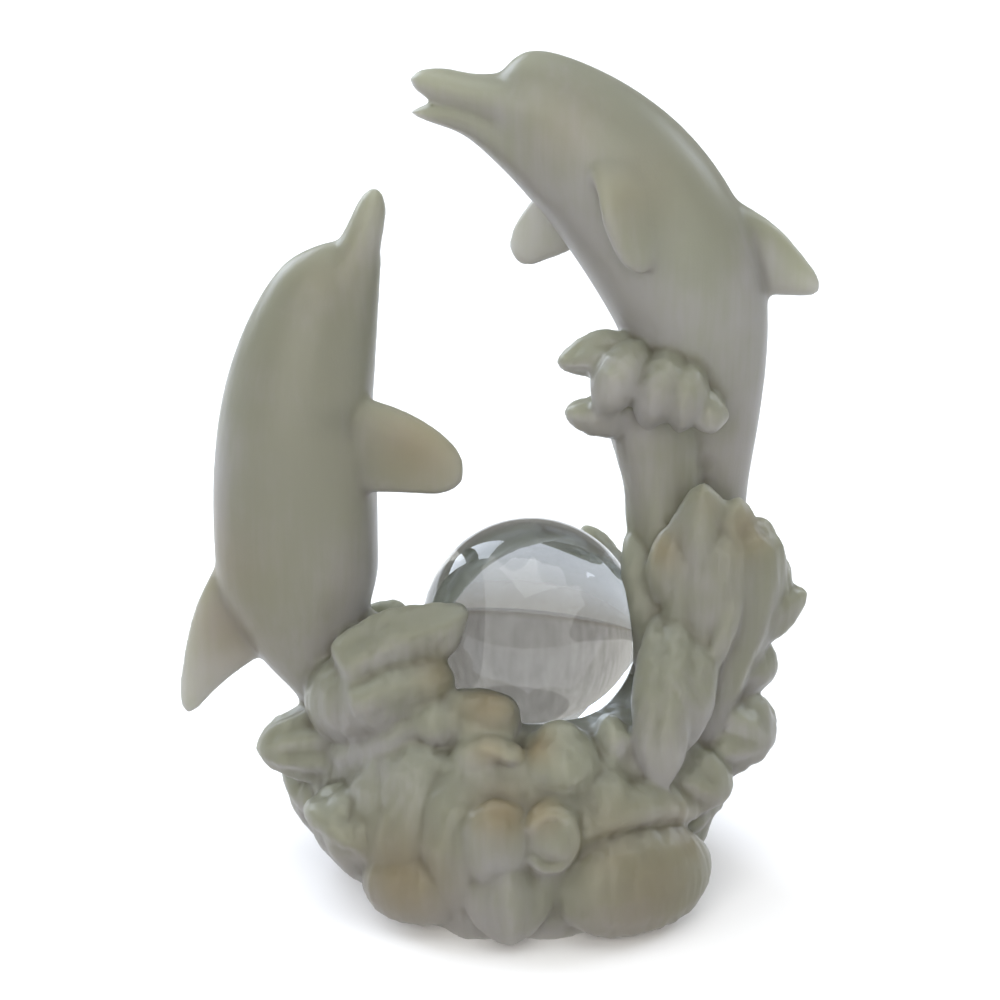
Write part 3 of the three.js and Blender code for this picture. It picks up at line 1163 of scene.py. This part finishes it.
@dataclass(frozen=True)
class DullCard:
    """Grey card, swept forward at its foot, with a painted shadow there.

    It is mauve-grey with soft upright mottling. It turns brown and thins out where it meets the floor:
    a painted shadow at its foot and on the swept strip in front of it.
    """

    pale: str = "#d3cfca"
    dark: str = "#bab5b0"
    painted_foot_shadow: str = "#7f704e"
    mottle_mm: float = 9.0
    foot_shadow_mm: float = 7.0
    # The swept strip lies on the floor in front of the card: a painted shadow, densest at the card's
    # foot.
    sweep_mm: tuple[float, float] = (-70.0, 0.0)
    sweep_share: tuple[float, float] = (0.12, 0.8)  # how dense it is at its front edge and at the foot
    upright_share: float = 0.4  # how much denser it is where it stands upright
    upright_mm: tuple[float, float] = (1.0, 6.0)

    def material(self) -> bpy.types.Material:
        """Builds the material.

        Returns:
            The material.
        """
        material, tree = new_material("dull_card")
        place = add_node(tree, "ShaderNodeTexCoord").outputs["Object"]
        drawn = add_node(tree, "ShaderNodeMapping", {"Vector": place, "Scale": (1.0, 1.0, 0.35)})
        mottle = add_node(
            tree,
            "ShaderNodeTexNoise",
            {"Vector": drawn.outputs[0], "Scale": 1 / (self.mottle_mm * MM), "Detail": 4.0},
        )
        share = add_node(
            tree,
            "ShaderNodeMapRange",
            {"Value": mottle.outputs["Fac"], "From Min": 0.35, "From Max": 0.65},
        )
        tint = add_node(
            tree,
            "ShaderNodeMix",
            {0: share.outputs[0], 6: linear(self.dark), 7: linear(self.pale)},
            data_type="RGBA",
        )
        height = add_node(tree, "ShaderNodeSeparateXYZ", {0: place})
        # Painted shadow: the card's foot and the swept strip turn brown near the floor.
        foot_shadow_share = add_node(
            tree,
            "ShaderNodeMapRange",
            {
                "Value": height.outputs["Z"],
                "From Max": self.foot_shadow_mm * MM,
                "To Min": 0.8,
                "To Max": 0.0,
            },
        )
        painted_foot_shadow = add_node(
            tree,
            "ShaderNodeMix",
            {0: foot_shadow_share.outputs[0], 6: tint.outputs[2], 7: linear(self.painted_foot_shadow)},
            data_type="RGBA",
        )
        near, far = (edge * MM for edge in self.sweep_mm)
        thin, dense = self.sweep_share
        swept = add_node(
            tree,
            "ShaderNodeMapRange",
            {
                "Value": height.outputs["Y"],
                "From Min": near,
                "From Max": far,
                "To Min": thin,
                "To Max": dense,
            },
            interpolation_type="SMOOTHSTEP",
        )
        low, high = (edge * MM for edge in self.upright_mm)
        standing = add_node(
            tree,
            "ShaderNodeMapRange",
            {
                "Value": height.outputs["Z"],
                "From Min": low,
                "From Max": high,
                "To Max": self.upright_share,
            },
            interpolation_type="SMOOTHSTEP",
        )
        alpha = add_node(
            tree, "ShaderNodeMath", {0: swept.outputs[0], 1: standing.outputs[0]}, operation="ADD"
        )
        shader = add_node(
            tree,
            "ShaderNodeBsdfPrincipled",
            {"Base Color": painted_foot_shadow.outputs[2], "Roughness": 0.8, "Alpha": alpha.outputs[0]},
        )
        add_node(tree, "ShaderNodeOutputMaterial", {"Surface": shader.outputs[0]})
        return material


# ---- The pieces ----


@dataclass
class GlassBall:
    """The clear ball.

    Attributes:
        radius: Its radius.
        centre: Its middle.
    """

    radius: float = 25
    centre: Point = (1.5, 0, 60.5)

    def sphere(self, name: str, gap: float = 0) -> bpy.types.Object:
        """Makes a sphere from a subdivided cube, so that it has no poles.

        Args:
            name: The object's name.
            gap: How much larger than the ball it is.

        Returns:
            The sphere.
        """
        size = self.radius + gap
        bpy.ops.mesh.primitive_cube_add(size=2 * size * MM)
        ball = bpy.context.object
        ball.name = name
        bpy.ops.object.mode_set(mode="EDIT")
        bpy.ops.mesh.select_all(action="SELECT")
        bpy.ops.mesh.subdivide(number_cuts=31)
        bpy.ops.object.mode_set(mode="OBJECT")
        apply_modifier(
            ball, "CAST", cast_type="SPHERE", factor=1, size=size * MM, use_radius_as_size=False
        )
        ball.location = Vector(self.centre) * MM
        select_only(ball)
        bpy.ops.object.transform_apply()
        return ball

    def build(self, finish: ClearGlass) -> bpy.types.Object:
        """Builds the ball in its glass.

        Args:
            finish: The glass.

        Returns:
            The ball.
        """
        ball = self.sphere("clear_ball")
        select_only(ball)
        bpy.ops.object.shade_smooth()
        ball.data.materials.append(finish.material())
        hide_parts("glass_ball")
        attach(ball, BODY)
        return ball


@dataclass(frozen=True)
class BrownPatch:
    """A warm, brownish patch in the casting; those at its foot and in its front hollow are painted shade.

    Attributes:
        place: Its middle.
        reach: How far it spreads.
        strength: How strong it is at its middle.
    """

    place: Point
    reach: float
    strength: float


BROWN_PATCHES = (
    BrownPatch((-68, 0, 78), 13, 0.55),  # the rising dolphin's back
    BrownPatch((-66, 0, 62), 11, 0.5),
    BrownPatch((-24, -12, 107), 11, 0.7),  # the front edge of its fin
    BrownPatch((-45, -10, 150), 10, 0.35),
    BrownPatch((24, -12, 166), 10, 0.4),  # the root of the arching dolphin's fin
    BrownPatch((8, -2, 176), 9, 0.3),
    BrownPatch((51, -14, 90), 6.5, 0.9),  # the crest of the tall wave
    BrownPatch((43, -14, 97), 5, 0.7),
    BrownPatch((30, -12, 84), 5, 0.7),
    BrownPatch((-8, -27, 53), 6.5, 0.9),  # the ledge in front of the ball
    BrownPatch((-8, -36, 46), 5, 0.8),
    # Painted shade in the hollow at the front, a recess that gets less light.
    BrownPatch((-5, -42, 35), 7, 1.0),  # the hollow at the front
    BrownPatch((3, -42, 34), 5, 0.9),
    BrownPatch((2, -33, 46), 4.5, 1.0),
    # Painted shade on the shells at the foot, which face down and get less light.
    BrownPatch((-28, -40, 16), 12, 0.9),  # the small shell at the foot
    BrownPatch((20, -44, 26), 10, 0.6),  # the great shell at the foot
    BrownPatch((28, -42, 14), 15, 0.6),
    BrownPatch((38, -34, 24), 9, 0.6),
    BrownPatch((-20, -22, 58), 5, 0.7),
)


def nearest(points: np.ndarray, trees: KDTree) -> np.ndarray:
    """Measures how far each point is from the nearest point of a tree.

    Args:
        points: The points, one in each row.
        trees: The tree.

    Returns:
        The distances.
    """
    return np.array([trees.find(point)[2] for point in points])


@dataclass
class Casting:
    """The dolphins, the splash and the base as one casting.

    Attributes:
        dolphins: The two dolphins.
        base: The wave base.
        voxel: The size of the cells that the forms are fused with.
        triangles: The most triangles that the finished mesh may have.
    """

    dolphins: tuple[Dolphin, ...]
    base: WaveBase
    voxel: float = 0.62
    triangles: int = 190000

    def fuse(self) -> tuple[bpy.types.Object, dict[str, KDTree]]:
        """Joins every form and fuses them to one skin.

        Returns:
            The fused casting, before it is cut, and where the forms of each skin were.
        """
        solids = [form.build() for dolphin in self.dolphins for form in dolphin.forms()]
        solids += self.base.build()
        trees = {}
        for skin in Skin:
            group = [item for item in solids if item.get("skin", Skin.WATER.value) == skin.value]
            corners = [vertex.co.copy() for item in group for vertex in item.data.vertices]
            trees[skin.value] = KDTree(len(corners))
            for index, corner in enumerate(corners):
                trees[skin.value].insert(corner, index)
            trees[skin.value].balance()
        select_only(*solids)
        bpy.ops.object.join()
        casting = bpy.context.object
        casting.name = "casting"
        casting.data.name = "casting"
        voxel = self.voxel * 1 * MM
        apply_modifier(casting, "REMESH", mode="VOXEL", voxel_size=voxel)
        return casting, trees

    def weigh(self, casting: bpy.types.Object, trees: dict[str, KDTree]) -> None:
        """Gives each skin its own vertex group, with a soft border between them.

        Args:
            casting: The fused casting.
            trees: Where the forms of each skin were.
        """
        points = np.empty(len(casting.data.vertices) * 3)
        casting.data.vertices.foreach_get("co", points)
        points = points.reshape(-1, 3)
        away = {name: nearest(points, tree) for name, tree in trees.items()}
        border = (away[Skin.WATER.value] - away[Skin.ANIMAL.value]) / (5 * MM)
        animal = np.clip(0.5 + border, 0, 1)
        for skin, weights in ((Skin.ANIMAL, animal), (Skin.WATER, 1 - animal)):
            group = casting.vertex_groups.new(name=skin.value)
            levels = np.round(weights * 20).astype(int)
            for level in range(1, 21):
                group.add(np.nonzero(levels == level)[0].tolist(), level / 20, "REPLACE")

    def carve(self, casting: bpy.types.Object) -> None:
        """Melts the joins between the forms, then carves the flow lines of the water.

        Args:
            casting: The fused casting.
        """
        apply_modifier(casting, "SMOOTH", factor=0.5, iterations=16)
        apply_modifier(
            casting, "SMOOTH", factor=0.5, iterations=30, vertex_group=Skin.ANIMAL.value
        )
        for name, width, height, depth in (("swell", 9, 24, 1.1), ("flow", 2.4, 16, 0.7)):
            texture = bpy.data.textures.new(name, "CLOUDS")
            texture.noise_scale = 1.0
            texture.noise_depth = 1
            bpy.ops.object.empty_add()
            grid = bpy.context.object
            grid.scale = (width * MM, width * MM, height * MM)
            apply_modifier(
                casting,
                "DISPLACE",
                texture=texture,
                texture_coords="OBJECT",
                texture_coords_object=grid,
                strength=depth * MM,
                mid_level=0.55,
                vertex_group=Skin.WATER.value,
            )
            bpy.data.objects.remove(grid)

    def cut(self, casting: bpy.types.Object, ball: GlassBall, gap: float) -> None:
        """Cuts the ball's seat, thins the mesh and cuts the flat foot.

        Args:
            casting: The casting.
            ball: The ball that the seat is for.
            gap: How much wider than the ball the seat is.
        """
        seat = ball.sphere("seat", gap)
        apply_modifier(casting, "BOOLEAN", object=seat, operation="DIFFERENCE", solver="FAST")
        bpy.data.objects.remove(seat)
        count = sum(len(face.vertices) - 2 for face in casting.data.polygons)
        apply_modifier(casting, "DECIMATE", ratio=min(1.0, self.triangles / count))
        select_only(casting)
        bpy.ops.object.mode_set(mode="EDIT")
        bpy.ops.mesh.select_all(action="SELECT")
        bpy.ops.mesh.bisect(
            plane_co=(0, 0, 0),
            plane_no=(0, 0, 1),
            use_fill=True,
            clear_inner=True,
            threshold=1e-6,
        )
        bpy.ops.mesh.quads_convert_to_tris()
        bpy.ops.object.mode_set(mode="OBJECT")

    def paint(self, casting: bpy.types.Object) -> None:
        """Stores how hollow the skin is and how strong its brown patches are, for the material to read.

        Args:
            casting: The finished casting.
        """
        mesh = casting.data
        count = len(mesh.vertices)
        points, normals = np.empty(count * 3), np.empty(count * 3)
        edges = np.empty(len(mesh.edges) * 2, dtype=int)
        mesh.vertices.foreach_get("co", points)
        mesh.vertices.foreach_get("normal", normals)
        mesh.edges.foreach_get("vertices", edges)
        points, normals = points.reshape(-1, 3), normals.reshape(-1, 3)
        one, other = edges.reshape(-1, 2).T
        degree = np.bincount(np.concatenate([one, other]), minlength=count).clip(1)

        def around(values: np.ndarray) -> np.ndarray:
            """Averages a value over each vertex's neighbours.

            Args:
                values: The value at each vertex.

            Returns:
                The mean of the value at the vertices that share an edge with each one.
            """
            total = np.bincount(one, values[other], count) + np.bincount(other, values[one], count)
            return total / degree

        middle = np.column_stack([around(points[:, axis]) for axis in range(3)])
        for _ in range(5):
            middle = np.column_stack([around(middle[:, axis]) for axis in range(3)])
        hollow = ((middle - points) * normals).sum(axis=1) / MM
        for _ in range(3):
            hollow = around(hollow)
        brown_patch = np.zeros(count)
        for patch in BROWN_PATCHES:
            away = np.linalg.norm(points / MM - patch.place, axis=1) / patch.reach
            brown_patch = np.maximum(brown_patch, patch.strength * np.exp(-(away**2)))
        for name, values in (("hollow", hollow), ("brown_patch", brown_patch)):
            attribute = mesh.attributes.new(name, "FLOAT", "POINT")
            attribute.data.foreach_set("value", values.astype(np.float32))
            log.info("%s: %.3f to %.3f", name, *np.percentile(values, (2, 98)))

    def build(self, finish: FrostedAcrylic, ball: GlassBall, gap: float = 0.3) -> bpy.types.Object:
        """Builds the casting in its acrylic.

        Args:
            finish: The acrylic.
            ball: The ball that it holds.
            gap: The gap between the ball and its seat.

        Returns:
            The casting.
        """
        casting, trees = self.fuse()
        log.info("fused: %d faces", len(casting.data.polygons))
        self.weigh(casting, trees)
        self.carve(casting)
        self.cut(casting, ball, gap)
        self.paint(casting)
        select_only(casting)
        bpy.ops.object.shade_smooth_by_angle(angle=math.radians(60))
        casting.data.materials.append(finish.material())
        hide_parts("dolphins_and_waves")
        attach(casting, BODY)
        return casting


# ---- The studio ----


@dataclass
class Studio:
    """A white floor, soft light and the camera.

    Attributes:
        aim: The point that the camera looks at.
        distance: How far away the camera is.
        elevation: How far it looks down, in degrees.
        lens: Its focal length on a 36 mm wide sensor.
        horizon: The colour of the air by the horizon.
        zenith: The colour of the air overhead.
        glow: How brightly the air glows.
        card: How far behind the ball the dull card stands.
        card_turn: How far it is turned, in degrees, so that its left end is the farther one.
    """

    aim: Point = (-5.6, 0, 91.3)
    distance: float = 626
    elevation: float = 20
    lens: float = 100
    horizon: str = "#bdbab6"
    zenith: str = "#e4e8ec"
    glow: float = 1.08
    card: float = 120
    card_turn: float = -11

    def camera(self) -> None:
        """Adds the camera and makes it the scene's own."""
        angle = math.radians(self.elevation)
        offset = Vector((0, -math.cos(angle), math.sin(angle))) * self.distance
        bpy.ops.object.camera_add(
            location=(Vector(self.aim) + offset) * MM, rotation=(math.pi / 2 - angle, 0, 0)
        )
        camera = bpy.context.object
        camera.name = "camera"
        camera.data.lens = self.lens
        camera.data.sensor_width = 36
        camera.data.clip_start = 0.01
        camera.data.dof.use_dof = False
        bpy.context.scene.camera = camera

    def floor(self) -> None:
        """Adds the floor."""
        bpy.ops.mesh.primitive_plane_add(size=40)
        floor = bpy.context.object
        floor.name = "floor"
        floor.data.materials.append(WhitePaper().material())
        floor.visible_diffuse = False

    def backdrop(self) -> None:
        """Adds a dull card behind the piece, which only shows through the glass."""
        bpy.ops.mesh.primitive_plane_add(size=MM)
        card = bpy.context.object
        card.name = "card"
        bpy.ops.object.mode_set(mode="EDIT")
        bpy.ops.mesh.select_all(action="SELECT")
        bpy.ops.transform.resize(value=(500, 70, 1), center_override=(0, 0, 0))
        bpy.ops.transform.translate(value=(0, -35 * MM, 0.5 * MM))
        bpy.ops.object.mode_set(mode="OBJECT")
        rear = {v.index for v in card.data.vertices if v.co.y > -MM}
        for edge in card.data.edges:
            edge.select = rear.issuperset(edge.vertices)
        for vertex in card.data.vertices:
            vertex.select = vertex.index in rear
        card.data.polygons[0].select = False
        bpy.ops.object.mode_set(mode="EDIT")
        bpy.ops.mesh.extrude_region_move(TRANSFORM_OT_translate={"value": (0, 0, 100 * MM)})
        bpy.ops.object.mode_set(mode="OBJECT")
        card.location = (0, self.card * MM, 0)
        card.rotation_euler.z = math.radians(self.card_turn)
        card.data.materials.append(DullCard().material())
        for ray in ("camera", "diffuse", "glossy", "shadow", "volume_scatter"):
            setattr(card, f"visible_{ray}", False)

    def soft_light(
        self,
        name: str,
        place: Point,
        size: float,
        power: float,
        colour: str,
        mirrored: bool = True,
    ) -> None:
        """Adds one soft box that faces the casting.

        Args:
            name: The light's name.
            place: Where it hangs, in metres.
            size: The side of its square face, in metres.
            power: Its power in watts.
            colour: Its colour.
            mirrored: Whether the ball shows its reflection.
        """
        target = Vector(self.aim) * MM
        turn = (Vector(place) - target).to_track_quat("Z", "Y").to_euler()
        bpy.ops.object.light_add(type="AREA", location=place, rotation=turn)
        light = bpy.context.object
        light.name = name
        light.data.shape = "SQUARE"
        light.data.size = size
        light.data.energy = power
        light.data.color = linear(colour)[:3]
        light.visible_glossy = mirrored

    def air(self) -> None:
        """Sets up the air: dull by the horizon and brighter above, as in a room lit from the ceiling."""
        world = bpy.data.worlds.new("air")
        world.use_nodes = True
        tree = world.node_tree
        way = add_node(
            tree,
            "ShaderNodeSeparateXYZ",
            {0: add_node(tree, "ShaderNodeTexCoord").outputs["Generated"]},
        )
        height = add_node(
            tree,
            "ShaderNodeMapRange",
            {"Value": way.outputs["Z"], "From Min": 0.35, "From Max": 0.9},
        )
        tint = add_node(
            tree,
            "ShaderNodeMix",
            {0: height.outputs[0], 6: linear(self.horizon), 7: linear(self.zenith)},
            data_type="RGBA",
        )
        background = tree.nodes["Background"]
        background.inputs["Strength"].default_value = self.glow
        tree.links.new(tint.outputs[2], background.inputs["Color"])
        bpy.context.scene.world = world

    def build(self) -> None:
        """Sets up the floor, the lights, the air and the camera."""
        self.floor()
        self.backdrop()
        self.soft_light("window", (-1.15, 0.95, 0.95), 1.2, 27, "#e2ebfb")
        self.soft_light("ceiling", (0.1, -0.2, 1.7), 1.5, 8.5, "#ffffff")
        self.soft_light("fill", (-0.4, -2.6, 1.0), 2.4, 60, "#fffaf2", mirrored=False)
        self.soft_light("doorway", (1.1, 0.5, 0.8), 0.5, 4, "#e6eeff")
        self.air()
        bpy.context.scene.view_settings.view_transform = "Standard"
        self.camera()


def main() -> None:
    """Builds the studio, the casting and the ball."""
    logging.basicConfig(level=logging.INFO, format="%(name)s: %(message)s")
    Studio().build()
    ball = GlassBall()
    casting = Casting(dolphins=(rising_dolphin(), arching_dolphin()), base=WaveBase())
    for piece in (casting.build(FrostedAcrylic(), ball), ball.build(ClearGlass())):
        log.info("%s: %d faces", piece.name, len(piece.data.polygons))


if __name__ == "__main__":
    main()
